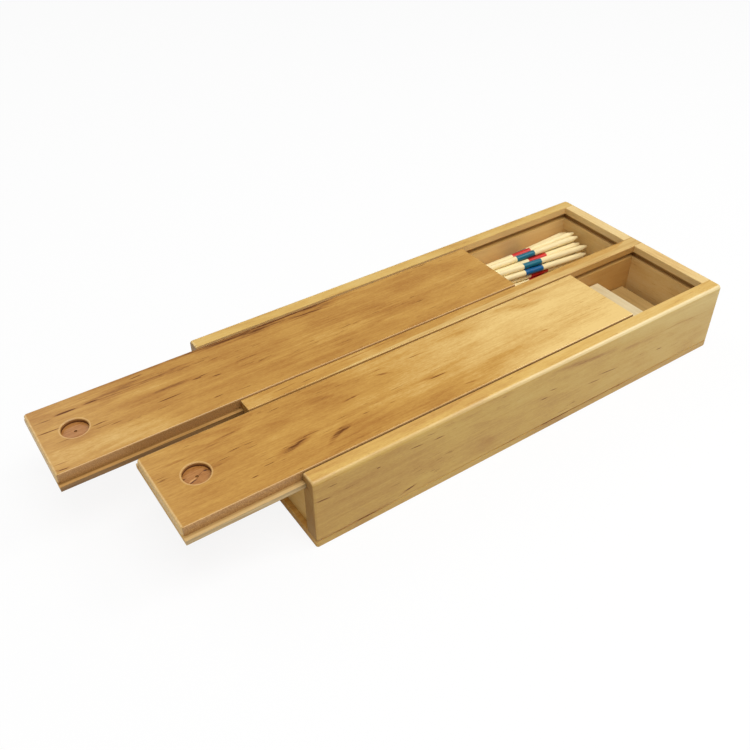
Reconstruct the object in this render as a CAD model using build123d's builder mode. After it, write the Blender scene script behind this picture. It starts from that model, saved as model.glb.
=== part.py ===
from build123d import *

import os
from math import atan, degrees, hypot, sqrt

# A pine games box: three long grooved boards stand on a thin bottom panel, short boards close
# the two long compartments between them, and each compartment has a lid that slides in the
# grooves.  One compartment holds a bundle of pick-up sticks, the other two layers of tiles.
#
# The origin is the middle of the face that the box stands on.  +X runs along the box to its
# closed end, +Y from the tile side to the stick side, +Z up.  Every size is in millimetres.

# The carcass
box_length = 252.0  # over the ends of the three long boards
box_width = 117.0
box_height = 39.0  # from the underside of the bottom panel to the rim
bottom_thickness = 4.0
side_thickness = 7.6
divider_thickness = 7.8
end_thickness = 7.6  # the short boards at the closed end
front_thickness = 6.2  # the low boards at the open end
front_setback = 2.6  # how far the low boards stand back from the ends of the long ones
front_drop = 0.3  # how far the low boards stop short of the groove's foot
rim_round = 2.0  # the outer top edge all round
corner_round = 2.6  # the two upright corners at the closed end
mouth_round = 1.2  # the ends of the long boards at the open end
sanded_edge = 0.5  # every other edge that sandpaper has broken

# The groove that the lids run in
lip_height = 3.8  # wood left above the groove
groove_height = 3.2
groove_depth = 2.6

# The lids
lid_proud = 0.5  # the top of a lid above the rim
lid_side_gap = 1.0  # between the thick part of a middled lid and the lips beside it
lid_end_gap = 0.8  # between the thick part of a shut lid and the closed end
lid_overhang = 1.4  # a shut lid past the ends of the long boards
tongue_thickness = 2.4
tongue_rest = 0.3  # under the tongue, which lies at the foot of its groove
tongue_edge_gap = 1.1  # between the tongue's edge and the bottom of the groove
lid_corner_round = 1.6
lid_edge_round = 0.8
recess_diameter = 12.0  # the fingertip recess
recess_depth = 2.0
near_recess_inset = 17.1  # from the front end of a lid to the middle of its recess
far_recess_inset = 15.9
recess_aside = 1.0  # how far a recess is off its lid's middle line
recess_bevel = 0.3
spur_diameter = 1.4  # the pit left by the point of the boring bit
spur_depth = 0.6
near_lid_drawn = 51.0  # how far each lid is pulled out of its shut place
far_lid_drawn = 81.4
near_lid_lean = 0.3  # how far the near lid lies over towards the near side board
far_lid_lean = 0.7  # how far the far lid lies over towards the divider

# The pick-up sticks, a round bundle with a slight twist, held by a rubber band at its waist
stick_count = 31
stick_diameter = 3.5
stick_sides = 16  # flats that stand for the round of a stick
stick_length = 180.0
tip_length = 4.6
tip_diameter = 1.4
stick_gap = 0.08  # between neighbours at the waist
bundle_turn = 31.5  # degrees, how the pattern of sticks is turned at the waist
bundle_to_floor = 0.1  # under the flared ends of the bundle
flare_share = 0.6178  # of the free height over the waist, taken up by the flared ends
bundle_to_far_wall = 0.3
bundle_to_end = 3.3  # from the closed end to the mean place of the tips
tip_raggedness = 1.4  # how far a tip lies before or behind the mean place
golden_share = (sqrt(5) - 1) / 2  # spreads the tips evenly with no pattern
band_width = 4.0
band_thickness = 0.8
band_gap = 0.15

# The tiles, lying crosswise in two layers, the upper one tile shorter at each end
tile_width = 22.3
tile_end_gap = 0.4  # from each end of a tile to the compartment's wall
tile_gap = 0.05  # between neighbours in a layer
tile_edge = 0.6  # the bevel on every edge
tiles_to_lid = 7.7  # room over the upper layer
tiles_to_end = 4.2  # from the closed end to the last tile of the lower layer

# Places worked out from the sizes above
front_x = -box_length / 2
back_x = box_length / 2
near_y = -box_width / 2
near_face_y = near_y + side_thickness  # the inner face of the near long board
near_divider_y = -divider_thickness / 2
compartment_width = near_divider_y - near_face_y
near_middle_y = (near_face_y + near_divider_y) / 2
end_face_x = back_x - end_thickness  # the inner face of the closed end
front_face_x = front_x + front_setback + front_thickness  # the inner face of the open end
groove_top = box_height - lip_height
groove_bottom = groove_top - groove_height
groove_middle = (groove_top + groove_bottom) / 2
groove_end_x = end_face_x + groove_depth
board_height = box_height - bottom_thickness
board_middle = bottom_thickness + board_height / 2


def save(piece, name):
    """Label a finished piece and write it under its own name."""
    piece.part.label = name
    export_step(piece.part, f"parts/{name}.step")


def mirrored(piece):
    """The same piece for the other side of the box."""
    with BuildPart() as twin:
        mirror(piece.part, about=Plane.XZ)
    return twin


# ---------------------------------------------------------------- bottom panel
# A flat panel under the whole box.  Its edge shows below the long boards, and as a narrow
# ledge in front of the low boards.
with BuildPart() as bottom_panel:
    with BuildSketch(Plane.XY):
        Rectangle(box_length, box_width)
    extrude(amount=bottom_thickness)
    fillet(bottom_panel.edges().filter_by(Axis.Z).group_by(Axis.X)[-1], corner_round)
    fillet(bottom_panel.edges().filter_by(Axis.Z).group_by(Axis.X)[0], mouth_round)
    fillet(bottom_panel.faces().sort_by(Axis.Z)[-1].edges(), sanded_edge)
    fillet(bottom_panel.faces().sort_by(Axis.Z)[0].edges(), sanded_edge)

# ---------------------------------------------------------------- long side boards
# Each runs the whole length.  The groove in its inner face is open at the front, where the
# lid goes in, and stops level with the groove in the closed end.
with BuildPart() as near_side_wall:
    with BuildSketch(Plane.YZ.offset(front_x)):
        with Locations((near_y + side_thickness / 2, board_middle)):
            Rectangle(side_thickness, board_height)
    extrude(amount=box_length)
    with BuildSketch(Plane.YZ.offset(front_x)):
        with Locations((near_face_y - groove_depth / 2, groove_middle)):
            Rectangle(groove_depth, groove_height)
    extrude(amount=groove_end_x - front_x, mode=Mode.SUBTRACT)
    upright = near_side_wall.edges().filter_by(Axis.Z).group_by(Axis.Y)[0]
    fillet(upright.sort_by(Axis.X)[-1], corner_round)
    rim = near_side_wall.faces().sort_by(Axis.Z)[-1].edges()
    outer_rim = rim.sort_by(Axis.Y)[0]
    end_rim = rim.filter_by(Axis.Y).sort_by(Axis.X)[-1]
    corner_rim = rim.filter_by(GeomType.CIRCLE)
    fillet([outer_rim, end_rim] + corner_rim, rim_round)
    mouth = near_side_wall.faces().sort_by(Axis.X)[0].edges()
    fillet(mouth.sort_by(Axis.Y)[0], mouth_round)
    foot = near_side_wall.faces().sort_by(Axis.Z)[0].edges().filter_by(Axis.X)
    fillet(foot.sort_by(Axis.Y)[0], sanded_edge)

far_side_wall = mirrored(near_side_wall)

# ---------------------------------------------------------------- divider
# The third long board, grooved on both faces.  Its ends show at both ends of the box.
with BuildPart() as divider:
    with BuildSketch(Plane.YZ.offset(front_x)):
        with Locations((0, board_middle)):
            Rectangle(divider_thickness, board_height)
    extrude(amount=box_length)
    with BuildSketch(Plane.YZ.offset(front_x)):
        groove_step = divider_thickness - groove_depth
        with Locations((0, groove_middle)):
            with GridLocations(groove_step, 0, 2, 1):
                Rectangle(groove_depth, groove_height)
    extrude(amount=groove_end_x - front_x, mode=Mode.SUBTRACT)
    rim = divider.faces().sort_by(Axis.Z)[-1].edges().filter_by(Axis.Y)
    fillet(rim.sort_by(Axis.X)[-1], rim_round)
    fillet(rim.sort_by(Axis.X)[0], sanded_edge)
    fillet(divider.edges().filter_by(Axis.X).group_by(Axis.Z)[-1], sanded_edge)

# ---------------------------------------------------------------- closed end
# One short board between each long side board and the divider, grooved for the lid's end.
with BuildPart() as near_end_wall:
    with BuildSketch(Plane.XZ.offset(-near_face_y)):
        with Locations((back_x - end_thickness / 2, board_middle)):
            Rectangle(end_thickness, board_height)
        with Locations((end_face_x + groove_depth / 2, groove_middle)):
            Rectangle(groove_depth, groove_height, mode=Mode.SUBTRACT)
    extrude(amount=-compartment_width)
    rim = near_end_wall.edges().filter_by(Axis.Y).group_by(Axis.Z)[-1]
    fillet(rim.sort_by(Axis.X)[-1], rim_round)
    fillet(near_end_wall.edges().filter_by(Axis.Y).group_by(Axis.Z)[-1].sort_by(Axis.X)[0], sanded_edge)

far_end_wall = mirrored(near_end_wall)

# ---------------------------------------------------------------- open end
# A low board closes each compartment below the lid, set back behind the long boards' ends.
front_wall_top = groove_bottom - front_drop
with BuildPart() as near_front_wall:
    with BuildSketch(Plane.XY.offset(bottom_thickness)):
        with Locations((front_x + front_setback + front_thickness / 2, near_middle_y)):
            Rectangle(front_thickness, compartment_width)
    extrude(amount=front_wall_top - bottom_thickness)
    fillet(near_front_wall.edges().filter_by(Axis.Y).group_by(Axis.Z)[-1], sanded_edge)

far_front_wall = mirrored(near_front_wall)

# ---------------------------------------------------------------- lids
# A solid board rebated along both sides and across its inner end, which leaves a tongue
# that runs in the grooves.  The thick part stands a little above the rim.
lid_top = box_height + lid_proud
tongue_bottom = groove_bottom + tongue_rest
tongue_top = tongue_bottom + tongue_thickness
lid_width = compartment_width - 2 * lid_side_gap
tongue_reach = lid_side_gap + groove_depth - tongue_edge_gap
shut_front_x = front_x - lid_overhang
lid_length = end_face_x - lid_end_gap - shut_front_x
tongue_length = lid_length + lid_end_gap + groove_depth - tongue_edge_gap
tongue_width = lid_width + 2 * tongue_reach
from_front = (Align.MIN, Align.CENTER)


def sliding_lid(drawn, middle_y, recess_inset):
    """A lid pulled out of its shut place by the given distance."""
    lid_front_x = shut_front_x - drawn
    with BuildPart() as lid:
        with BuildSketch(Plane.XY.offset(tongue_bottom)):
            with Locations((lid_front_x, middle_y)):
                Rectangle(tongue_length, tongue_width, align=from_front)
        extrude(amount=tongue_top - tongue_bottom)
        with BuildSketch(Plane.XY.offset(tongue_top)):
            with Locations((lid_front_x, middle_y)):
                Rectangle(lid_length, lid_width, align=from_front)
        extrude(amount=lid_top - tongue_top)
        uprights = lid.edges().filter_by(Axis.Z).group_by(Axis.X)[0]
        fillet(uprights.group_by(Axis.Z)[-1], lid_corner_round)
        fillet(lid.faces().sort_by(Axis.Z)[-1].edges().sort_by(Axis.X)[0:3], lid_edge_round)
        with Locations((lid_front_x + recess_inset, middle_y + recess_aside, lid_top)):
            CounterBoreHole(
                radius=spur_diameter / 2,
                counter_bore_radius=recess_diameter / 2,
                counter_bore_depth=recess_depth,
                depth=recess_depth + spur_depth,
            )
        top_edges = lid.edges().group_by(Axis.Z)[-1]
        chamfer(top_edges.filter_by(GeomType.CIRCLE).sort_by(Axis.X)[-1], recess_bevel)
    return lid


near_lid = sliding_lid(near_lid_drawn, near_middle_y - near_lid_lean, near_recess_inset)
far_lid = sliding_lid(far_lid_drawn, -near_middle_y - far_lid_lean, far_recess_inset)

# ---------------------------------------------------------------- pick-up sticks
# The sticks lie in rings round a middle one.  Turning every stick about the bundle's axis by
# the same amount in each millimetre keeps them straight and apart, and flares both ends
# until they stand on the floor and against the far wall.
stick_radius = stick_diameter / 2
half_stick = stick_length / 2
stick_pitch = stick_diameter + stick_gap


def ring_places(pitch, count, turn):
    """The innermost places of a close-packed pattern, nearest first, turned about its middle."""
    reach = range(-int(sqrt(count)), int(sqrt(count)) + 1)
    grid = [Vector(column + row / 2, row * sqrt(3) / 2) for column in reach for row in reach]
    places = [place * pitch for place in grid]
    nearest = sorted(places, key=lambda place: (round(place.length, 3), -place.Y))[:count]
    return [place.rotate(Axis.Z, turn) for place in nearest]


stick_places = [(place.X, place.Y) for place in ring_places(stick_pitch, stick_count, bundle_turn)]
waist_radius = max(hypot(*place) for place in stick_places)
waist_reach = waist_radius + stick_radius
half_room = (tongue_bottom - bottom_thickness - bundle_to_floor) / 2
end_radius = waist_reach + flare_share * (half_room - waist_reach)
flare = (end_radius - stick_radius) / waist_radius
bundle_twist = sqrt(flare**2 - 1) / half_stick  # radians in each millimetre of length
bundle_x = end_face_x - bundle_to_end - half_stick
bundle_y = -near_face_y - bundle_to_far_wall - end_radius
bundle_z = bottom_thickness + bundle_to_floor + end_radius


tip_taper = degrees(atan((stick_diameter - tip_diameter) / (2 * tip_length)))


def pick_up_stick(across, up, shift):
    """A stick with two blunt points, on its own line through the waist of the bundle."""
    line = Vector(1, -bundle_twist * up, bundle_twist * across)
    middle = Vector(bundle_x, bundle_y + across, bundle_z + up) + line * shift
    across_stick = Plane(origin=middle, z_dir=line)
    with BuildPart() as stick:
        with BuildSketch(across_stick):
            RegularPolygon(stick_radius, stick_sides)
        extrude(amount=half_stick - tip_length)
        shank_end = stick.faces().sort_by(Axis(middle, line))[-1]
        extrude(shank_end, amount=tip_length, taper=tip_taper)
        mirror(about=across_stick)
    return stick


sticks = []
for number, (across, up) in enumerate(stick_places, 1):
    share = (number * golden_share) % 1
    sticks.append(pick_up_stick(across, up, tip_raggedness * (2 * share - 1)))

# A plain rubber band stretched round the waist of the bundle.
with BuildPart() as stick_band:
    for growth, mode in ((band_gap + band_thickness, Mode.ADD), (band_gap, Mode.SUBTRACT)):
        with BuildSketch(Plane.YZ.offset(bundle_x - band_width / 2)):
            with Locations(*[(bundle_y + across, bundle_z + up) for across, up in stick_places]):
                Circle(stick_radius + growth)
            make_hull()
        extrude(amount=band_width, mode=mode)

# ---------------------------------------------------------------- tiles
# Plain wooden tiles across the other compartment, as many as the lower layer has room for.
tile_length = compartment_width - 2 * tile_end_gap
tile_thickness = (tongue_bottom - bottom_thickness - tiles_to_lid) / 2
tile_pitch = tile_width + tile_gap
row_end_x = end_face_x - tiles_to_end
last_tile_x = row_end_x - tile_width / 2
lower_tile_count = int((row_end_x - front_face_x) / tile_pitch)
upper_tile_count = lower_tile_count - 2


def tile(place, base_z):
    """One tile, counted from the closed end towards the open one."""
    with BuildPart() as piece:
        with BuildSketch(Plane.XY.offset(base_z)):
            with Locations((last_tile_x - place * tile_pitch, near_middle_y)):
                Rectangle(tile_width, tile_length)
        extrude(amount=tile_thickness)
        chamfer(piece.edges(), tile_edge)
    return piece


lower_tiles = [tile(place, bottom_thickness) for place in range(lower_tile_count)]
upper_tiles = [tile(place + 1, bottom_thickness + tile_thickness) for place in range(upper_tile_count)]

# ---------------------------------------------------------------- write every piece
os.makedirs("parts", exist_ok=True)
save(bottom_panel, "bottom_panel")
save(near_side_wall, "near_side_wall")
save(far_side_wall, "far_side_wall")
save(divider, "divider")
save(near_end_wall, "near_end_wall")
save(far_end_wall, "far_end_wall")
save(near_front_wall, "near_front_wall")
save(far_front_wall, "far_front_wall")
save(near_lid, "near_lid")
save(far_lid, "far_lid")
save(stick_band, "stick_band")
for name, pieces in (("pick_up_stick", sticks), ("lower_tile", lower_tiles), ("upper_tile", upper_tiles)):
    for number, piece in enumerate(pieces, 1):
        save(piece, f"{name}_{number:02d}")
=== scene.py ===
from math import radians
from types import SimpleNamespace

import bpy
from mathutils import Euler, Matrix, Vector


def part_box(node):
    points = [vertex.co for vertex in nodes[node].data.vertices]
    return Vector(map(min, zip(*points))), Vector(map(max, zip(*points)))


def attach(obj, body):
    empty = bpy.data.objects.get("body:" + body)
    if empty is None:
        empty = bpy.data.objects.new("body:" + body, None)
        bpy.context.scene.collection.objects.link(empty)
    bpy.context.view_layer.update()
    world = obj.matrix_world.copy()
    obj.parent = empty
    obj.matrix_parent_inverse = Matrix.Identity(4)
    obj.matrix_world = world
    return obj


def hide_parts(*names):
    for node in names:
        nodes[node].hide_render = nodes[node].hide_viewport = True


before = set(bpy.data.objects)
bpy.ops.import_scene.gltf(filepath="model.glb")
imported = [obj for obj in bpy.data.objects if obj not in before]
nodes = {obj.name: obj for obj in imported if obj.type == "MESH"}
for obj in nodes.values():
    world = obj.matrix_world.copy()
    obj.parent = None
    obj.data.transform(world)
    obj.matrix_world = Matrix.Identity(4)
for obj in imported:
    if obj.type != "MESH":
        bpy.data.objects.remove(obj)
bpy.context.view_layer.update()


# ---------------------------------------------------------------- bottom panel
# A thin sawn pine panel glued under the whole box, its grain along the box.  It has the same
# thin satin lacquer as the boards above it, which gives the pine a soft sheen.

MM = 0.001
SOFT = {"interpolation_type": "SMOOTHSTEP"}


def linear(code):
    """An sRGB hex colour as the linear values that a shader takes."""
    values = [int(code[i : i + 2], 16) / 255 for i in (1, 3, 5)]
    return [v / 12.92 if v <= 0.04045 else ((v + 0.055) / 1.055) ** 2.4 for v in values] + [1.0]


def fill(tree, node, inputs):
    """Give a node its inputs: sockets to link, hex colours or plain values."""
    for key, value in inputs.items():
        if isinstance(value, bpy.types.NodeSocket):
            tree.links.new(value, node.inputs[key])
        elif isinstance(value, str) and value.startswith("#"):
            node.inputs[key].default_value = linear(value)
        else:
            node.inputs[key].default_value = value


def add(tree, kind, *inputs, output=0, **settings):
    """One more node of any kind, with its settings.  Its inputs come in the node's own order,
    or by name in one dict, and the result is one of its outputs."""
    node = tree.nodes.new(kind)
    for name, value in settings.items():
        setattr(node, name, value)
    by_name = inputs and isinstance(inputs[0], dict)
    fill(tree, node, inputs[0] if by_name else dict(enumerate(inputs)))
    return node.outputs[output] if node.outputs else node


def start_finish(name):
    """A new material, its node tree and the place on the object in millimetres."""
    material = bpy.data.materials.new(name)
    material.use_nodes = True
    tree = material.node_tree
    place = add(tree, "ShaderNodeTexCoord", output="Object")
    in_mm = add(tree, "ShaderNodeVectorMath", {0: place, "Scale": 1 / MM}, operation="SCALE")
    return material, tree, in_mm


def mottle(tree, place, cells, shift, detail, output="Fac"):
    """An uneven pattern with this many cells to the millimetre along each axis."""
    start = (shift, 0.7 * shift, 0.3 * shift)
    inputs = {"Vector": place, "Scale": cells, "Location": start}
    squeezed = add(tree, "ShaderNodeMapping", inputs)
    inputs = {"Vector": squeezed, "Scale": 1.0, "Detail": detail, "Roughness": 0.55}
    return add(tree, "ShaderNodeTexNoise", inputs, output=output)


def within(tree, *borders):
    """Where all of these hold at once, as one share.  Each is a share, or a value with where
    it starts to hold and where it holds whole, and after them the shares there, if they
    aren't none and whole."""
    whole = None
    for border in borders:
        if isinstance(border, tuple):
            border = add(tree, "ShaderNodeMapRange", *border, **SOFT)
        if whole is not None:
            border = add(tree, "ShaderNodeMath", whole, border, operation="MULTIPLY")
        whole = border
    return whole


def vary(tree, value, pattern, amount):
    """The value made larger and smaller by a pattern that wanders about one half."""
    swing = add(tree, "ShaderNodeMath", pattern, 0.5, operation="SUBTRACT")
    return add(tree, "ShaderNodeMath", swing, amount, value, operation="MULTIPLY_ADD")


def shades(tree, value, stops, interpolation="LINEAR"):
    """The shades of a finish, given as (place, hex colour) pairs."""
    shade = add(tree, "ShaderNodeValToRGB", value)
    ramp = shade.node.color_ramp
    ramp.interpolation = interpolation
    while len(ramp.elements) < len(stops):
        ramp.elements.new(0.5)
    for element, (place, code) in zip(ramp.elements, stops):
        element.position = place
        element.color = linear(code)
    return shade


def lay(tree, colour, *layers, how="MIX"):
    """The colour with others laid over it one by one, each as far as its share says."""
    for share, second in layers:
        inputs = {0: share, 6: colour, 7: second}
        colour = add(tree, "ShaderNodeMix", inputs, output=2, data_type="RGBA", blend_type=how)
    return colour


def streaked(tree, place, fibre, tone, marks, upright=False):
    """The tone with streaks of resin or stain, and lines of painted shadow, on a level or an
    upright face.  A mark is its middle, length, width, slant in degrees and strength, and a
    negative one is paler wood.  It breaks up along the fibres and fades at both ends."""
    half_depth = 4.0
    for middle, length, width, slant, strength in marks:
        if upright:
            turn, size = (0, -radians(slant), 0), (length / 2, half_depth, width / 2)
        else:
            turn, size = (0, 0, radians(slant)), (length / 2, width / 2, half_depth)
        inputs = {"Vector": place, "Location": middle, "Rotation": turn, "Scale": size}
        unit = add(tree, "ShaderNodeMapping", inputs, vector_type="TEXTURE")
        reach = add(tree, "ShaderNodeVectorMath", unit, operation="LENGTH", output="Value")
        shown = within(tree, (reach, 1.0, 0.25), (fibre, 0.36, 0.6, 0.35, 1.15))
        tone = add(tree, "ShaderNodeMath", shown, strength, tone, operation="MULTIPLY_ADD")
    return tone


def pine(name, tones, pith, ring, seed, grain="X", base=0.4, patches=0.35, flecks=0.45,
         fade=None, streaks=(), upright=False, parts=None, end_tint=("#A97F4B", 0.4)):
    """Flat-sawn pine under thin satin lacquer: growth rings of this width in millimetres
    about a pith line, warm patches, fine fibres, short dark resin canals and streaks."""
    material, tree, in_mm = start_finish(name)

    # The board seen from its pith, with the grain along X and the rings a little wavy
    wave, taper = 14.0, 0.05
    turn = (0, 0, radians(-90)) if grain == "Y" else (0, 0, 0)
    inputs = {"Vector": in_mm, "Rotation": turn, "Location": (0, -pith[0], -pith[1])}
    board = add(tree, "ShaderNodeMapping", inputs)
    drift = mottle(tree, board, (0.009, 0.03, 0.03), seed, 2.5, output="Color")
    drift = add(tree, "ShaderNodeVectorMath", drift, (0.5, 0.5, 0.5), operation="SUBTRACT")
    inputs = {0: drift, 1: (0, wave, wave), 2: board}
    bent = add(tree, "ShaderNodeVectorMath", inputs, operation="MULTIPLY_ADD")
    section = add(tree, "ShaderNodeVectorMath", bent, (0, 1, 1), operation="MULTIPLY")
    reach = add(tree, "ShaderNodeVectorMath", section, operation="LENGTH", output="Value")
    along = add(tree, "ShaderNodeSeparateXYZ", board, output="X")
    reach = add(tree, "ShaderNodeMath", along, taper, reach, operation="MULTIPLY_ADD")
    year = add(tree, "ShaderNodeMath", reach, ring, operation="DIVIDE")
    year = add(tree, "ShaderNodeMath", year, operation="FRACT")

    # Real fibres and canals are too fine to show, so they are drawn about half a millimetre
    # to a millimetre wide
    fibre = mottle(tree, board, (0.045, 1.05, 1.05), seed + 3, 3.0)
    fine = mottle(tree, board, (0.55, 2.4, 2.4), seed + 5, 2.0)
    patch = mottle(tree, board, (0.012, 0.075, 0.075), seed + 7, 3.0)
    bloom = mottle(tree, board, (0.035, 0.06, 0.06), seed + 9, 3.0)
    canal = mottle(tree, board, (0.1, 2.0, 2.0), seed + 11, 1.0)
    where = mottle(tree, board, (0.02, 0.1, 0.1), seed + 13, 1.0)
    canals = within(tree, (canal, 0.68, 0.74), (where, 0.45, 0.62))

    # Each ring darkens slowly towards its latewood and ends sharply
    latewood = within(tree, (year, 0.2, 0.85), (year, 1.0, 0.86), (bloom, 0.3, 0.7))
    tone = add(tree, "ShaderNodeMath", latewood, 0.12, base, operation="MULTIPLY_ADD")
    for pattern, amount in ((patch, 2 * patches), (bloom, 0.35), (fibre, 0.34), (fine, 0.36)):
        tone = vary(tree, tone, pattern, amount)
    tone = add(tree, "ShaderNodeMath", canals, flecks, tone, operation="MULTIPLY_ADD")
    if fade:
        start, end, change = fade
        change = add(tree, "ShaderNodeMapRange", along, start, end, 0.0, change, **SOFT)
        tone = add(tree, "ShaderNodeMath", tone, change, operation="ADD")
    tone = streaked(tree, in_mm, fibre, tone, streaks, upright)
    colour = shades(tree, tone, tones)

    # End grain drinks the lacquer, so it is duller than the faces, and so is dark resin
    normal = add(tree, "ShaderNodeNewGeometry", output="True Normal")
    facing = add(tree, "ShaderNodeSeparateXYZ", normal).node.outputs
    endwise = add(tree, "ShaderNodeMath", facing[grain], operation="ABSOLUTE")
    end_grain = within(tree, (endwise, 0.6, 0.9))
    end_colour, end_share = end_tint
    colour = lay(tree, colour, (within(tree, end_grain, end_share), end_colour))
    if parts:
        spot = add(tree, "ShaderNodeSeparateXYZ", in_mm).node.outputs
        wood = SimpleNamespace(in_mm=in_mm, spot=spot, facing=facing, fibre=fibre, fine=fine)
        colour = parts(tree, wood, colour)
    face_grain = add(tree, "ShaderNodeMath", 1.0, end_grain, operation="SUBTRACT")
    gloss = within(tree, (tone, 0.75, 1.0, 1.0, 0.3), face_grain)
    height = add(tree, "ShaderNodeMath", fine, 0.5, fibre, operation="MULTIPLY_ADD")
    relief = {"Height": height, "Strength": 0.35, "Distance": 0.08 * MM}
    fill(tree, tree.nodes["Principled BSDF"], {
        "Base Color": colour,
        "Roughness": add(tree, "ShaderNodeMapRange", tone, 0.0, 1.0, 0.34, 0.46, **SOFT),
        "IOR": 1.5,
        "Specular IOR Level":
            add(tree, "ShaderNodeMath", gloss, 0.3, 0.1, operation="MULTIPLY_ADD"),
        "Coat Weight": within(tree, gloss, 0.15),
        "Coat Roughness": 0.22,
        "Normal": add(tree, "ShaderNodeBump", relief),
    })
    return material


def dress(node, material):
    """Give a carried-over node its finish."""
    for slot in nodes[node].material_slots:
        slot.material = material


# The ploughed groove, in millimetres: its foot and top above the table, and its depth
groove_foot, groove_top, groove_depth = 32.0, 35.2, 2.6


def groove(tree, wood, depth, colour):
    """The ploughed groove is bare wood, painted a flat darker brown that is also painted shade;
    depth is in millimetres past the board's face.
    """
    level = wood.spot["Z"]
    inside = within(
        tree,
        (level, groove_foot - 0.1, groove_foot),
        (level, groove_top + 0.1, groove_top),
        (depth, 0.02, 0.08),
        (depth, groove_depth + 0.2, groove_depth + 0.1),
        0.85,
    )
    # Bare wood with painted shade: a flat darker brown inside the groove
    return lay(tree, colour, (inside, "#BE9454"))


def wall_faces(outward, outer, inner, inner_share=0.5, inner_y=None, rim="#FFFFFF",
               lip_shade="#FFFFFF"):
    """The faces of a side board, tinted by which way they face: painted shade tones down its outer
    face and its rim, and painted light makes its inner face paler.  A board whose inner face lies
    at inner_y is ploughed: its groove is bare wood with painted shade, its lip has painted shade
    from the lid, and a painted highlight on its sanded round grows towards the closed end."""

    def paint(tree, wood, colour):
        up = wood.facing["Z"]
        away = add(tree, "ShaderNodeMath", wood.facing["Y"], outward, operation="MULTIPLY")
        # Painted shade on the outer face and the rim, and painted light on the inner face
        outside, on_top = within(tree, (away, 0.3, 1.0)), within(tree, (up, 0.9, 1.0))
        colour = lay(tree, colour, (outside, outer), (on_top, rim), how="MULTIPLY")
        colour = lay(tree, colour, (within(tree, (away, -0.6, -0.9, 0.0, inner_share)), inner))
        if inner_y:
            inputs = {0: wood.spot["Y"], 1: outward, 2: -abs(inner_y)}
            depth = add(tree, "ShaderNodeMath", inputs, operation="MULTIPLY_ADD")
            colour = groove(tree, wood, depth, colour)
            # Painted shade from the lid on the lip above the groove
            above_groove = (wood.spot["Z"], groove_top, groove_top + 0.1)
            lip = within(tree, above_groove, (away, -0.6, -0.9))
            colour = lay(tree, colour, (lip, lip_shade), how="MULTIPLY")
            # A painted highlight on the rim's round, growing towards the closed end
            highlight_growth = (wood.spot["X"], -100.0, 60.0, 0.1, 0.5)
            painted_round_highlight = within(tree, (up, 0.2, 0.5), (up, 0.995, 0.97), highlight_growth)
            colour = lay(tree, colour, (painted_round_highlight, "#F8E8BC"))
        return colour

    return paint


# Painted shadow in the joint along the foot of the near side, a dark line over the panel
# and the board above it
near_outer_y = -58.5
painted_foot_shadow = (
    ((-109, near_outer_y, 4.1), 70, 1.6, 0, 0.6),
    ((19, near_outer_y, 4.1), 240, 1.2, 0, 0.4),
)
PALE_PINE = ((0.0, "#EDD393"), (0.4, "#DDB768"), (0.75, "#BE8C46"), (1.0, "#7A4A22"))
# Painted shade darkens the panel's near edge, and painted light its far edge
bottom_pine = pine("sawn_pine_panel", PALE_PINE, pith=(20, -60), ring=4.2, seed=2.0, base=0.44,
                   streaks=painted_foot_shadow, upright=True, parts=wall_faces(-1, "#D4CDAC", "#E0B878"))
dress("bottom_panel", bottom_pine)

# ---------------------------------------------------------------- long side boards
# Planed pine, ploughed for the lids, with a hand-sanded round along the rim.  The satin
# lacquer catches the light on that round, and a painted highlight along it grows towards the
# closed end.

near_wall_marks = painted_foot_shadow + (
    # Painted shadow in the open mouth of the groove, on the board's front end
    ((-126, -51.5, 33.6), 5, 5.0, 0, 1.2),
    ((-122, near_outer_y, 27.5), 12, 1.0, -6, 0.6),
    ((-78, near_outer_y, 7.5), 15, 1.6, 14, 0.5),
    ((-94, near_outer_y, 30.2), 3, 0.9, 0, 0.5),
    ((-74.5, near_outer_y, 31.6), 11, 0.8, -6, 0.5),
    ((-62, near_outer_y, 30.3), 8, 0.9, -3, 0.5),
    ((98, near_outer_y, 36.5), 170, 19, -2, -0.26),
    ((36, near_outer_y, 31.5), 90, 3.4, -8, 0.2),
    ((92, near_outer_y, 27.2), 80, 2.0, -3, 0.2),
    ((1, near_outer_y, 21.6), 7, 0.9, -6, 0.6),
    ((7, near_outer_y, 24.6), 8, 0.8, -8, 0.5),
    ((35, near_outer_y, 16), 12, 0.9, -6, 0.6),
    ((45, near_outer_y, 18.2), 20, 0.9, -6, 0.55),
    ((83, near_outer_y, 15.8), 7, 0.9, -5, 0.6),
)

near_inner_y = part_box("near_side_wall")[1].y / MM
# Painted shade darkens the outer faces and rims, and painted light brightens the inner faces
near_wall_pine = pine("planed_pine_near_side", PALE_PINE, pith=(-28, 10), ring=3.4, seed=5.0,
                      base=0.51, fade=(-115, 110, -0.2), patches=0.26,
                      streaks=near_wall_marks, upright=True, end_tint=("#8A6434", 0.75),
                      parts=wall_faces(-1, "#DAD3AC", "#E0B878", inner_y=near_inner_y,
                                       rim="#FBF6EA", lip_shade="#8A6A48"))
far_wall_pine = pine("planed_pine_far_side", PALE_PINE, pith=(25, -2), ring=3.8, seed=9.0,
                     end_tint=("#8A6434", 0.75),
                     parts=wall_faces(1, "#E8E8E4", "#E8C084", inner_share=0.65,
                                      inner_y=-near_inner_y, rim="#F8F4E6"))
dress("near_side_wall", near_wall_pine)
dress("far_side_wall", far_wall_pine)

# ---------------------------------------------------------------- divider
# The third long board, planed and ploughed on both faces.  Its rim is two-toned, because
# heartwood runs along the far half.

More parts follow.
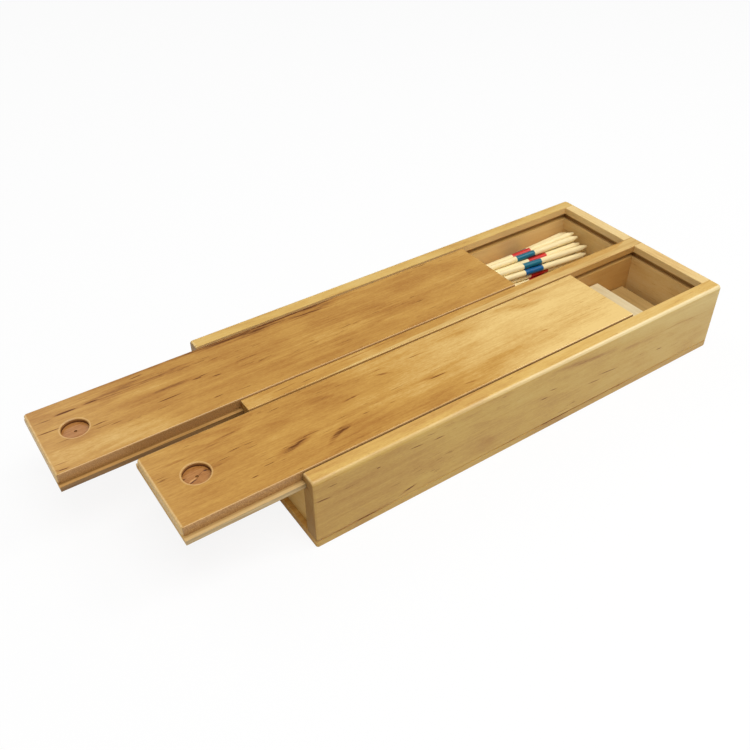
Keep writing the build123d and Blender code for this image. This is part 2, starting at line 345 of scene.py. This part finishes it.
AMBER_PINE = ((0.0, "#E9C67C"), (0.4, "#C69544"), (0.7, "#AC752B"), (1.0, "#64360C"))
divider_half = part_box("divider")[1].y / MM
rim_z = 39
divider_marks = (
    ((-105, 0.3, rim_z), 16, 0.7, 3, 0.6),
    ((-93, -0.9, rim_z), 12, 0.6, 3, 0.5),
    ((-62, 1.8, rim_z), 40, 1.2, 1, 0.3),
    ((12, -0.4, rim_z), 9, 0.5, 2, 0.5),
    ((66, -0.9, rim_z), 7, 0.5, 0, 0.5),
)


def sapwood_and_end_highlight(tree, wood, colour):
    """Pale sapwood along the near edge of the rim, widened near the closed end by a painted
    highlight, and painted shade on both faces as a flatter, darker brown."""
    along, across = wood.spot["X"], wood.spot["Y"]
    border = add(tree, "ShaderNodeMapRange", along, -125.0, 30.0, -4.0, -0.2, **SOFT)
    # Near the closed end the pale band widens over the whole rim as a painted highlight
    end_highlight = add(tree, "ShaderNodeMapRange", along, 104.0, 122.0, 0.0, 4.0, **SOFT)
    border = add(tree, "ShaderNodeMath", border, end_highlight, operation="ADD")
    border = vary(tree, border, wood.fibre, 1.6)
    inside = add(tree, "ShaderNodeMath", border, across, operation="SUBTRACT")
    pale = within(tree, (inside, -0.3, 0.5), (wood.facing["Z"], 0.3, 0.6))
    sapwood = shades(tree, wood.fibre, ((0.3, "#C69B52"), (0.7, "#DEBB74")))
    # Painted shade on both faces, a flat darker brown
    sideways = add(tree, "ShaderNodeMath", wood.facing["Y"], operation="ABSOLUTE")
    side = within(tree, (sideways, 0.6, 0.9, 0.0, 0.65))
    colour = lay(tree, colour, (pale, sapwood), (side, "#B98A50"))
    from_middle = add(tree, "ShaderNodeMath", across, operation="ABSOLUTE")
    depth = add(tree, "ShaderNodeMath", divider_half, from_middle, operation="SUBTRACT")
    return groove(tree, wood, depth, colour)


divider_pine = pine("planed_pine_divider", AMBER_PINE, pith=(30, -30), ring=3.6, seed=14.0,
                    base=0.36, patches=0.25, streaks=divider_marks, parts=sapwood_and_end_highlight,
                    end_tint=("#8A6434", 0.6))
dress("divider", divider_pine)

# ---------------------------------------------------------------- closed end
# Two short boards glued between the long ones, with their grain across the box.  They are
# planed and ploughed like the long ones, and paler.

END_PINE = ((0.0, "#F0D89E"), (0.4, "#E4C07C"), (0.75, "#C89856"), (1.0, "#8A5A2E"))
end_face_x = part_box("near_end_wall")[0].x / MM


def end_groove(tree, wood, colour):
    """The groove across the closed end."""
    depth = add(tree, "ShaderNodeMath", wood.spot["X"], end_face_x, operation="SUBTRACT")
    return groove(tree, wood, depth, colour)


end_pine = pine("planed_pine_end", END_PINE, pith=(100, -30), ring=3.4, seed=21.0, grain="Y",
                base=0.32, parts=end_groove)
dress("near_end_wall", end_pine)
dress("far_end_wall", end_pine)

# ---------------------------------------------------------------- open end
# Two low planed pine boards below the lids, glued between the long ones and set back behind
# their ends, with their grain across the box.

front_pine = pine("planed_pine_front", PALE_PINE, pith=(-95, -20), ring=3.9, seed=27.0, grain="Y",
                  base=0.3, flecks=0.1)
dress("near_front_wall", front_pine)
dress("far_front_wall", front_pine)

# ---------------------------------------------------------------- lids
# Solid flat-sawn boards with warmer heartwood and resin streaks.  The top is lacquered; the
# rebates along both sides are left as the saw made them, rough and browner.

# In millimetres: the rebates' depth and width, and the recess's place off the middle line
# and its radius
ledge_depth, tongue_reach = 4.8, 2.5
recess_aside, recess_radius = 1.0, 6.0


def lid_parts(node, recess_inset, ledge_tones, tongue_tones, tears=()):
    """Sawn rebates, edges painted pale for wear and as a painted highlight, and the bored
    recess of one lid.
    """
    low, high = [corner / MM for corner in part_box(node)]
    middle_y = (low.y + high.y) / 2
    recess_centre = (low.x + recess_inset, middle_y + recess_aside, high.z)
    ledge_z = high.z - ledge_depth
    half_width = (high.y - low.y) / 2 - tongue_reach

    def paint(tree, wood, colour):
        level, up = wood.spot["Z"], wood.facing["Z"]
        sideways = add(tree, "ShaderNodeMath", wood.facing["Y"], operation="ABSOLUTE")
        side, upward = within(tree, (sideways, 0.6, 0.8)), within(tree, (up, 0.6, 0.8))
        above = within(tree, (level, ledge_z - 0.05, ledge_z + 0.05))
        below = within(tree, (level, ledge_z + 0.05, ledge_z))
        aside = add(tree, "ShaderNodeMath", wood.spot["Y"], middle_y, operation="SUBTRACT")
        aside = add(tree, "ShaderNodeMath", aside, operation="ABSOLUTE")
        beyond = add(tree, "ShaderNodeMath", aside, half_width, operation="SUBTRACT")

        # The top edges are painted pale, and so are the front edge and its end grain: partly wear,
        # partly a painted highlight where the rounded edges catch the light
        top_edge = within(tree, (beyond, -0.7, -0.1), upward)
        front_edge = within(tree, (wood.spot["X"], low.x + 1.3, low.x + 0.5))
        edges = add(tree, "ShaderNodeMath", top_edge, front_edge, operation="MAXIMUM")
        rubbed_and_highlit = within(tree, edges, above, (wood.fibre, 0.3, 0.6, 0.45, 0.85))

        # The saw left the sides of the rebates rough and brown, and the ledges bare
        speckle = mottle(tree, wood.in_mm, (2.2, 2.2, 2.2), 4.0, 3.0)
        sawn = shades(tree, speckle, ((0.3, "#93683A"), (0.5, "#A97D49"), (0.7, "#BE9259")))
        inner_ledge, dark_ledge, pale_ledge = ledge_tones
        bare = shades(tree, wood.fibre, ((0.3, dark_ledge), (0.7, pale_ledge)))
        bare = lay(tree, inner_ledge, (within(tree, (beyond, 0.5, 1.3)), bare))
        dark_tongue, pale_tongue = tongue_tones
        tongue = shades(tree, wood.fibre, ((0.3, dark_tongue), (0.7, pale_tongue)))
        colour = lay(
            tree,
            colour,
            (rubbed_and_highlit, "#E4C286"),
            (within(tree, side, above), sawn),
            (within(tree, upward, below), bare),
            (within(tree, side, below), tongue),
        )

        # The bored recess: a paler ring, a wall darkest at its foot and a brown floor
        inputs = {0: wood.in_mm, 1: recess_centre}
        offset = add(tree, "ShaderNodeVectorMath", inputs, operation="SUBTRACT")
        flat = add(tree, "ShaderNodeVectorMath", offset, (1, 1, 0), operation="MULTIPLY")
        reach = add(tree, "ShaderNodeVectorMath", flat, operation="LENGTH", output="Value")
        ring = within(tree, (reach, recess_radius + 1.0, recess_radius + 0.4), upward, 0.55)
        grain = add(tree, "ShaderNodeMath", wood.fibre, 0.6, operation="MULTIPLY")
        grain = add(tree, "ShaderNodeMath", wood.fine, 0.4, grain, operation="MULTIPLY_ADD")
        grain = streaked(tree, offset, wood.fine, grain, tears)
        stops = ((0.0, "#E0AE70"), (0.35, "#BE8548"), (0.6, "#A3692F"), (1.0, "#4A240C"))
        floor_colour = shades(tree, grain, stops)
        inside = within(tree, (reach, recess_radius + 0.25, recess_radius + 0.15))
        recess_floor = within(tree, (level, high.z - 0.35, high.z - 0.5), inside)
        recess_wall = within(tree, (up, 0.5, 0.3), inside)
        foot = within(tree, (level, high.z - 0.9, high.z - 1.5))
        wall_colour = lay(tree, "#9C6D3C", (foot, "#5A3214"))
        return lay(
            tree,
            colour,
            (ring, "#E6BE80"),
            (recess_floor, floor_colour),
            (recess_wall, wall_colour),
        )

    return paint


lid_top = 39.5
near_lid_marks = (
    ((-120, -35.1, lid_top), 26, 6.0, 9, 0.35),
    ((-119, -34.9, lid_top), 12, 1.6, 9, 0.3),
    ((-142.7, -42, lid_top), 5, 0.9, 0, 0.5),
    ((-169, -15.7, lid_top), 26, 3.0, -8, 0.2),
    ((-144, -14.2, lid_top), 30, 3.0, 8, 0.2),
    ((-63, -17.8, lid_top), 13, 1.8, -18, 0.34),
    ((-46, -32.6, lid_top), 20, 2.0, -7, 0.35),
    ((-85, -23.6, lid_top), 12, 1.6, 6, 0.3),
    ((-102, -39.5, lid_top), 22, 4.0, 30, 0.3),
    ((-34.5, -45, lid_top), 9, 1.2, -8, 0.4),
    ((21, -34.8, lid_top), 5, 0.8, -8, 0.5),
    ((-43, -14.9, lid_top), 14, 0.6, -2, 0.7),
    ((-44, -33, lid_top), 16, 0.6, 0, 0.6),
    ((-97, -38.5, lid_top), 10, 3.0, 20, 0.25),
)
far_lid_marks = (
    ((-193, 40, lid_top), 14, 1.4, 0, 1.0),
    ((-181.5, 40.3, lid_top), 11, 1.1, 0, 0.8),
    ((-166, 40.5, lid_top), 90, 9.0, 0, 0.25),
    ((-203, 31.5, lid_top), 14, 0.8, -2, 1.1),
    ((-204.5, 9.8, lid_top), 8, 0.8, -3, 0.6),
    ((-205, 6, lid_top), 7, 0.8, -7, 0.5),
    ((-182, 24.5, lid_top), 7, 0.7, -3, 0.6),
    ((-176.7, 20.7, lid_top), 8, 0.7, 2, 0.6),
    ((-151, 22.8, lid_top), 15, 0.7, 0, 0.9),
    ((-135.5, 28.4, lid_top), 6, 0.8, -6, 0.6),
    ((-126.9, 25.4, lid_top), 6, 0.8, -6, 0.5),
    ((-158, 45.6, lid_top), 9, 0.9, 3, 0.6),
    ((-149, 29.5, lid_top), 40, 4.0, 4, 0.2),
    ((-101, 48.1, lid_top), 190, 3.4, 0, 0.25),
    ((-88, 46.6, lid_top), 130, 9.0, -2, 0.3),
    ((-172, 11, lid_top), 110, 22, 0, -0.14),
    ((-60, 24, lid_top), 120, 30, 0, 0.12),
    ((-60, 43.6, lid_top), 30, 1.2, -4, 0.5),
    ((-92, 48.2, lid_top), 40, 1.2, -1, 0.35),
    ((-65, 13.2, lid_top), 20, 0.8, -1, 0.5),
)
# Torn fibres on the floor of the near lid's recess, from its middle
near_tears = (
    ((-2.6, -1.0, -2), 6.0, 0.8, 16, -0.7),
    ((-2.8, -1.9, -2), 6.5, 0.7, 16, 0.9),
    ((-4.9, 1.4, -2), 3.0, 1.0, 10, 0.8),
    ((5.0, 1.2, -2), 4.0, 1.2, -10, 0.9),
    ((1.5, 0.6, -2), 7.0, 0.5, 25, 0.3),
)
near_lid_parts = lid_parts("near_lid", recess_inset=17.1,
                           ledge_tones=("#B08C54", "#C8A468", "#DCBC84"),
                           tongue_tones=("#A08354", "#C2A878"), tears=near_tears)
far_lid_parts = lid_parts("far_lid", recess_inset=15.9,
                          ledge_tones=("#86602E", "#A87C40", "#CDA062"),
                          tongue_tones=("#70502A", "#94703F"))
near_lid_pine = pine("flat_sawn_pine_near_lid", AMBER_PINE, pith=(-20, 22), ring=3.6, seed=33.0,
                     base=0.49, fade=(-110, 70, -0.44), streaks=near_lid_marks,
                     end_tint=("#D0A65A", 0.85), parts=near_lid_parts)
far_lid_pine = pine("flat_sawn_pine_far_lid", AMBER_PINE, pith=(36, 20), ring=3.8, seed=41.0,
                    base=0.5, streaks=far_lid_marks, end_tint=("#D0A65A", 0.85),
                    parts=far_lid_parts)
dress("near_lid", near_lid_pine)
dress("far_lid", far_lid_pine)

# ---------------------------------------------------------------- tiles
# Plain hardwood blanks with a small bevel, laid crosswise in two layers.  They are sanded and
# left bare of any print, and the lower layer is painted darker and browner as painted shade.

tile_tones_with_painted_shade = {
    "upper": ((0.0, "#EADBB4"), (0.5, "#DCC89C"), (1.0, "#BC9E6A")),
    # The lower layer is painted darker and browner as painted shade
    "lower": ((0.0, "#D2B47C"), (0.5, "#BA985E"), (1.0, "#8E703E")),
}
for layer, tones in tile_tones_with_painted_shade.items():
    tile_wood = pine(f"sanded_hardwood_{layer}_tiles", tones, pith=(60, -70), ring=2.6, seed=50.0,
                     grain="Y", flecks=0.1)
    for name in sorted(nodes):
        if name.startswith(f"{layer}_tile"):
            dress(name, tile_wood)

# ---------------------------------------------------------------- pick-up sticks
# Turned birch sticks with blunt points, dipped or sprayed with one band of colour near each
# end.  They lie where the model's sticks lie.

stick_names = [name for name in sorted(nodes) if name.startswith("pick_up_stick")]
stick_length = 180 * MM
stick_diameter = 3.5 * MM
tip_length = 4.6 * MM
tip_diameter = 1.4 * MM
nose_length = 0.25 * MM
stick_sides = 20


def tips(node):
    """The middles of a stick's two blunt ends, the open end first."""
    points = [v.co for v in nodes[node].data.vertices]
    found = []
    for pick in (min, max):
        end = pick(p.x for p in points)
        cap = [p for p in points if abs(p.x - end) < tip_length / 2]
        found.append(sum(cap, Vector()) / len(cap))
    return found


def stick_master(tree, given):
    """One stick along Z: a shank, two tapers and two noses, joined into one closed skin."""
    both_tips = add(tree, "ShaderNodeMath", given["Tip length"], 2.0, operation="MULTIPLY")
    shank_length = add(tree, "ShaderNodeMath", given["Length"], both_tips, operation="SUBTRACT")
    reach = add(tree, "ShaderNodeMath", shank_length, 0.5, operation="MULTIPLY")
    radius = add(tree, "ShaderNodeMath", given["Diameter"], 0.5, operation="MULTIPLY")
    tip_radius = add(tree, "ShaderNodeMath", given["Tip diameter"], 0.5, operation="MULTIPLY")
    inputs = {"Vertices": given["Sides"], "Radius": radius, "Depth": shank_length}
    pieces = [add(tree, "GeometryNodeMeshCylinder", inputs, fill_type="NONE")]
    parts = ((radius, tip_radius, given["Tip length"]), (tip_radius, 0.0, given["Nose length"]))
    for bottom, top, depth in parts:
        inputs = {"Vertices": given["Sides"], "Radius Bottom": bottom, "Radius Top": top}
        inputs["Depth"] = depth
        cone = add(tree, "GeometryNodeMeshCone", inputs, fill_type="NONE")
        up = add(tree, "ShaderNodeCombineXYZ", {"Z": reach})
        moved = add(tree, "GeometryNodeTransform", {"Geometry": cone, "Translation": up})
        inputs = {"Geometry": moved, "Rotation": (radians(180), 0, 0)}
        pieces += [moved, add(tree, "GeometryNodeTransform", inputs)]
        reach = add(tree, "ShaderNodeMath", reach, depth, operation="ADD")
    joined = add(tree, "GeometryNodeJoinGeometry")
    for piece in pieces:
        tree.links.new(piece, joined.node.inputs[0])
    inputs = {"Geometry": joined, "Distance": 0.01 * MM}
    return add(tree, "GeometryNodeMergeByDistance", inputs)


def stick_tree():
    """Geometry Nodes that stand one stick on each point, turned along the point's line."""
    tree = bpy.data.node_groups.new("stick_bundle", "GeometryNodeTree")
    tree.interface.new_socket("Points", in_out="INPUT", socket_type="NodeSocketGeometry")
    for label in ("Length", "Diameter", "Tip length", "Tip diameter", "Nose length"):
        tree.interface.new_socket(label, in_out="INPUT", socket_type="NodeSocketFloat")
    tree.interface.new_socket("Sides", in_out="INPUT", socket_type="NodeSocketInt")
    tree.interface.new_socket("Finish", in_out="INPUT", socket_type="NodeSocketMaterial")
    tree.interface.new_socket("Sticks", in_out="OUTPUT", socket_type="NodeSocketGeometry")
    given = add(tree, "NodeGroupInput").node.outputs
    master = stick_master(tree, given)
    place = add(tree, "GeometryNodeInputPosition")
    height = add(tree, "ShaderNodeSeparateXYZ", place, output="Z")
    inputs = {"Geometry": master, "Name": "along", "Value": height}
    kind = {"data_type": "FLOAT", "domain": "POINT"}
    marked = add(tree, "GeometryNodeStoreNamedAttribute", inputs, **kind)
    line = add(tree, "GeometryNodeInputNamedAttribute", {"Name": "line"}, data_type="FLOAT_VECTOR")
    turn = add(tree, "FunctionNodeAlignRotationToVector", {"Vector": line}, axis="Z")
    inputs = {"Points": given["Points"], "Instance": marked, "Rotation": turn}
    placed = add(tree, "GeometryNodeInstanceOnPoints", inputs)
    real = add(tree, "GeometryNodeRealizeInstances", {"Geometry": placed})
    smooth = add(tree, "GeometryNodeSetShadeSmooth", {"Geometry": real})
    inputs = {"Geometry": smooth, "Material": given["Finish"]}
    finished = add(tree, "GeometryNodeSetMaterial", inputs)
    add(tree, "NodeGroupOutput", {"Sticks": finished})
    return tree


RED, DARK_RED, TEAL, BLUE = 0.0, 0.25, 0.5, 0.75
enamels = ((RED, "#CE261E"), (DARK_RED, "#C42626"), (TEAL, "#0E6A7E"), (BLUE, "#075C90"))
band_start, band_length, band_edge = 31.5, 13.0, 0.15


def painted_birch():
    """Bare turned birch with a band of enamel near each point, its edges a little ragged.
    The two ends of a stick have different colours."""
    material, tree, in_mm = start_finish("turned_birch_with_enamel_bands")
    fibre = mottle(tree, in_mm, (0.06, 3.0, 3.0), 60.0, 3.0)
    birch = shades(tree, fibre, ((0.3, "#F0DA9E"), (0.5, "#F8E4AC"), (0.7, "#FCECBC")))
    along = add(tree, "ShaderNodeAttribute", output="Fac", attribute_name="along")
    paint = add(tree, "ShaderNodeAttribute", output="Fac", attribute_name="paint")
    slip = add(tree, "ShaderNodeAttribute", output="Fac", attribute_name="slip")
    along_mm = add(tree, "ShaderNodeMath", along, MM, operation="DIVIDE")
    from_middle = add(tree, "ShaderNodeMath", along_mm, operation="ABSOLUTE")
    half_length = stick_length / MM / 2
    from_end = add(tree, "ShaderNodeMath", half_length, from_middle, operation="SUBTRACT")
    from_end = add(tree, "ShaderNodeMath", from_end, slip, operation="ADD")
    from_end = vary(tree, from_end, fibre, 1.2)
    band_end = band_start + band_length
    start = (from_end, band_start - band_edge, band_start + band_edge)
    stop = (from_end, band_end + band_edge, band_end - band_edge)
    band = within(tree, start, stop)
    open_end = add(tree, "ShaderNodeMath", along_mm, 0.0, operation="LESS_THAN")
    which = add(tree, "ShaderNodeMath", open_end, 0.5, paint, operation="MULTIPLY_ADD")
    which = add(tree, "ShaderNodeMath", which, operation="FRACT")
    enamel = shades(tree, which, enamels, "CONSTANT")
    relief = {"Height": fibre, "Strength": 0.15, "Distance": 0.03 * MM}
    fill(tree, tree.nodes["Principled BSDF"], {
        "Base Color": lay(tree, birch, (band, enamel)),
        "Roughness": add(tree, "ShaderNodeMath", band, -0.2, 0.55, operation="MULTIPLY_ADD"),
        "Normal": add(tree, "ShaderNodeBump", relief),
    })
    return material


# The sticks that lie on top, by number: the colour at their closed end, and how many
# millimetres nearer the points their bands are.  The rest take the colours in turn.
first_colours = {25: RED, 23: TEAL, 15: RED, 21: TEAL, 20: BLUE, 14: DARK_RED}
first_slips = {25: -2.1, 23: -1.7, 15: 5.4, 21: -3.7, 20: -2.4, 14: 2.1}
past_the_stop = 0.01
stick_points = bpy.data.meshes.new("stick_points")
ends = [tips(name) for name in stick_names]
stick_points.from_pydata([(a + b) / 2 for a, b in ends], [], [])
line = stick_points.attributes.new("line", "FLOAT_VECTOR", "POINT")
for index, (a, b) in enumerate(ends):
    line.data[index].vector = (b - a).normalized()
paint = stick_points.attributes.new("paint", "FLOAT", "POINT")
for index in range(len(ends)):
    paint.data[index].value = first_colours.get(index + 1, index % 4 / 4) + past_the_stop
slip = stick_points.attributes.new("slip", "FLOAT", "POINT")
for index in range(len(ends)):
    slip.data[index].value = first_slips.get(index + 1, (index * 7 % 5 - 2) * 0.8)
sticks = bpy.data.objects.new("stick_set", stick_points)
bpy.context.scene.collection.objects.link(sticks)
bundle = sticks.modifiers.new("bundle", "NODES")
bundle.node_group = stick_tree()
sizes = {
    "Length": stick_length, "Diameter": stick_diameter, "Tip length": tip_length - nose_length,
    "Tip diameter": tip_diameter, "Nose length": nose_length, "Sides": stick_sides,
    "Finish": painted_birch(),
}
for item in bundle.node_group.interface.items_tree:
    if item.name in sizes and item.in_out == "INPUT":
        bundle[item.identifier] = sizes[item.name]
bpy.context.view_layer.update()
evaluated = sticks.evaluated_get(bpy.context.evaluated_depsgraph_get())
plain = bpy.data.meshes.new_from_object(evaluated)
sticks.modifiers.clear()
sticks.data = plain
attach(sticks, "box")
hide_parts(*stick_names)

# ---------------------------------------------------------------- rubber band
# A plain natural-rubber band stretched round the waist of the bundle.  It is matt, and its
# brown is uneven where the rubber has bloomed.

rubber, rubber_tree, rubber_mm = start_finish("natural_rubber")
bloom = mottle(rubber_tree, rubber_mm, (1.5, 0.4, 0.4), 70.0, 3.0)
relief = {"Height": bloom, "Strength": 0.3, "Distance": 0.05 * MM}
fill(rubber_tree, rubber_tree.nodes["Principled BSDF"], {
    "Base Color": shades(rubber_tree, bloom, ((0.3, "#9C7440"), (0.7, "#C69C60"))),
    "Roughness": 0.6,
    "Normal": add(rubber_tree, "ShaderNodeBump", relief),
})
dress("stick_band", rubber)

# ---------------------------------------------------------------- floor, light and camera
# A plain white table that shows as nearly pure white away from the soft shadow of the box.
# A large lamp hangs over the near side, a small one past the closed end and one behind the
# far side, and even light comes from all round.

half_floor = 3.0
shown_white = 0.88
floor_mesh = bpy.data.meshes.new("floor")
corners = [(-half_floor, -half_floor, 0), (half_floor, -half_floor, 0),
           (half_floor, half_floor, 0), (-half_floor, half_floor, 0)]
floor_mesh.from_pydata(corners, [], [(0, 1, 2, 3)])
floor = bpy.data.objects.new("floor", floor_mesh)
bpy.context.scene.collection.objects.link(floor)
white = bpy.data.materials.new("white_table")
white.use_nodes = True
table = white.node_tree
table.nodes.clear()
diffuse = add(table, "ShaderNodeBsdfDiffuse", {"Color": "#F4F4F4"})
glow = add(table, "ShaderNodeEmission", {"Color": "#FFFFFF", "Strength": 1.0})
seen = add(table, "ShaderNodeLightPath", output="Is Camera Ray")
share = add(table, "ShaderNodeMath", seen, shown_white, operation="MULTIPLY")
surface = add(table, "ShaderNodeMixShader", share, diffuse, glow)
add(table, "ShaderNodeOutputMaterial", {"Surface": surface})
floor_mesh.materials.append(white)

# The air shows as white, and lights the box by much less
even_light = 0.38
world = bpy.data.worlds.new("studio")
bpy.context.scene.world = world
world.use_nodes = True
sky = world.node_tree
sky.nodes.clear()
seen = add(sky, "ShaderNodeLightPath", output="Is Camera Ray")
inputs = {0: seen, 1: 1.0 - even_light, 2: even_light}
level = add(sky, "ShaderNodeMath", inputs, operation="MULTIPLY_ADD")
air = add(sky, "ShaderNodeBackground", {"Color": "#FFFFFF", "Strength": level})
add(sky, "ShaderNodeOutputWorld", {"Surface": air})


def softbox(name, place, aim, size, power):
    """A square area lamp that faces its aim, in metres and watts."""
    lamp = bpy.data.lights.new(name, "AREA")
    lamp.shape = "SQUARE"
    lamp.size = size
    lamp.energy = power
    holder = bpy.data.objects.new(name, lamp)
    holder.location = place
    holder.rotation_euler = (Vector(aim) - Vector(place)).to_track_quat("-Z", "Y").to_euler()
    bpy.context.scene.collection.objects.link(holder)


softbox("key_softbox", (-0.05, -0.45, 1.1), (-0.04, 0, 0.02), size=0.8, power=8.5)
softbox("rim_softbox", (0.8, -0.35, 1.0), (0, -0.03, 0.04), size=0.35, power=3.5)
softbox("back_softbox", (-0.3, 0.9, 0.9), (-0.04, 0, 0.02), size=0.6, power=2.0)

# The camera looks along the box from above the open end; its angles are in radians
camera_place = Vector((-232.7, -263.6, 282.8)) * MM
heading, dip, roll = 0.981, 0.685, -0.011
square = radians(90)
lens = bpy.data.cameras.new("camera")
lens.sensor_width = 36.0
lens.lens = 40.17
camera = bpy.data.objects.new("camera", lens)
turned = Euler((square - dip, 0, heading - square)).to_matrix().to_4x4()
turned = turned @ Matrix.Rotation(roll, 4, "Z")
camera.matrix_world = Matrix.Translation(camera_place) @ turned
bpy.context.scene.collection.objects.link(camera)
bpy.context.scene.camera = camera
bpy.context.scene.view_settings.view_transform = "Standard"
